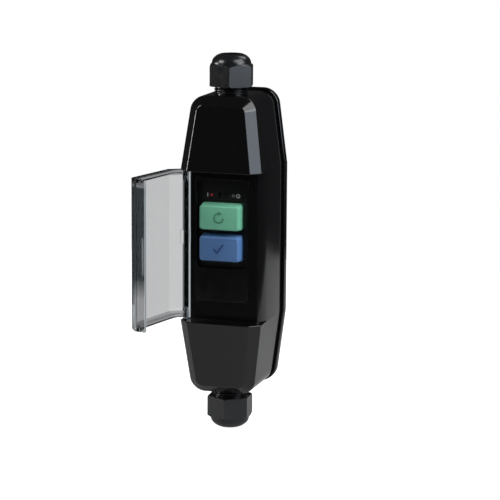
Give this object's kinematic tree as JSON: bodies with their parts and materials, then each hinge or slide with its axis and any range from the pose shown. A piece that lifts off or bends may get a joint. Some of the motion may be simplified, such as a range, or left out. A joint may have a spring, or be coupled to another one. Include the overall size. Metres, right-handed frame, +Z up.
{
  "type": "in-line residual current adapter",
  "caption": "Long black in-line safety adapter with tapered ends, a hinged clear lid over green reset and blue test buttons, and a domed cable gland at each end.",
  "frame": {"origin": "middle of the lower gland nut's mouth, on the cable axis", "axes": "+Z up along the cable axis from the lower gland to the upper one, -Y out of the front with the buttons, +X to the viewer's right"},
  "size_m": [0.0676, 0.0914, 0.22],
  "materials": {
    "shell": "satin black moulding",
    "cover": "satin black moulding",
    "seal": "matt black rubber",
    "fixings": "plated steel",
    "lid": "clear moulding",
    "fascia": "satin black film",
    "module": "matt black moulding",
    "window": "clear moulding",
    "flag": "half black, half red",
    "green_button": "satin green moulding",
    "blue_button": "satin blue moulding",
    "spring": "drawn spring wire",
    "board": "green solder mask",
    "components": "dark resin",
    "core": "grey ring core",
    "copper": "bare copper",
    "brass": "plain brass",
    "carriage": "ivory moulding",
    "washer": "natural nylon",
    "gland": "satin black nylon"
  },
  "bodies": {
    "case": {"lower_shell": "shell", "middle_shell": "shell", "upper_shell": "shell", "rear_cover": "cover", "perimeter_seal": "seal", "case_screws": "fixings", "fascia_plate": "fascia", "module_frame": "module", "indicator_window": "window", "reset_spring": "spring", "test_spring": "spring", "circuit_board": "board", "board_screws": "fixings", "push_switches": "module", "circuit_components": "components", "sensing_core": "core", "sensing_winding": "copper", "line_conductors": "copper", "contact_base": "module", "fixed_contacts": "brass", "trip_coil": "components", "supply_terminals": "brass", "load_terminals": "brass", "terminal_screws": "fixings", "earth_link": "copper", "upper_cord_grip": "module", "lower_cord_grip": "module", "cord_grip_screws": "fixings", "upper_gland_seal": "seal", "lower_gland_seal": "seal"},
    "lid": {"clear_lid": "lid", "lid_hinge_pins": "fixings"},
    "reset_key": {"reset_button": "green_button"},
    "test_key": {"test_button": "blue_button"},
    "contacts": {"contact_carriage": "carriage", "moving_contacts": "copper", "indicator_flag": "flag"},
    "plunger": {"trip_plunger": "fixings"},
    "upper_washer": {"upper_slip_washer": "washer"},
    "upper_nut": {"upper_gland_nut": "gland"},
    "lower_washer": {"lower_slip_washer": "washer"},
    "lower_nut": {"lower_gland_nut": "gland"}
  },
  "joints": [
    {"name": "lid_hinge", "type": "hinge", "parent": "case", "child": "lid", "pos_m": [-0.0227, -0.014, 0.11], "axis": [0, 0, 1], "range_deg": [0, 103]},
    {"name": "reset_press", "type": "slide", "parent": "case", "child": "reset_key", "axis": [0, 1, 0], "range_m": [0, 0.0022], "stiffness_N_per_m": 600, "springref_m": -0.002, "deforming": ["reset_spring"]},
    {"name": "test_press", "type": "slide", "parent": "case", "child": "test_key", "axis": [0, 1, 0], "range_m": [0, 0.0022], "stiffness_N_per_m": 600, "springref_m": -0.002, "deforming": ["test_spring"]},
    {"name": "contact_slide", "type": "slide", "parent": "case", "child": "contacts", "axis": [0, 0, -1], "range_m": [0, 0.0046], "stiffness_N_per_m": 200, "springref_m": -0.003},
    {"name": "trip_push", "type": "slide", "parent": "case", "child": "plunger", "axis": [0, 0, 1], "range_m": [0, 0.002], "stiffness_N_per_m": 200, "springref_m": -0.002},
    {"name": "upper_nut_rise", "type": "slide", "parent": "case", "child": "upper_washer", "axis": [0, 0, 1], "range_m": [0, 0.00301]},
    {"name": "upper_nut_turn", "type": "hinge", "parent": "upper_washer", "child": "upper_nut", "pos_m": [0, 0, 0.21], "axis": [0, 0, 1], "range_deg": [0, 720]},
    {"name": "lower_nut_drop", "type": "slide", "parent": "case", "child": "lower_washer", "axis": [0, 0, -1], "range_m": [0, 0.00301]},
    {"name": "lower_nut_turn", "type": "hinge", "parent": "lower_washer", "child": "lower_nut", "pos_m": [0, 0, 0.01], "axis": [0, 0, -1], "range_deg": [0, 720]}
  ],
  "couplings": [
    {"joint": "upper_nut_rise", "follows": "upper_nut_turn", "m_per_rad": 0.00023873},
    {"joint": "lower_nut_drop", "follows": "lower_nut_turn", "m_per_rad": 0.00023873}
  ]
}
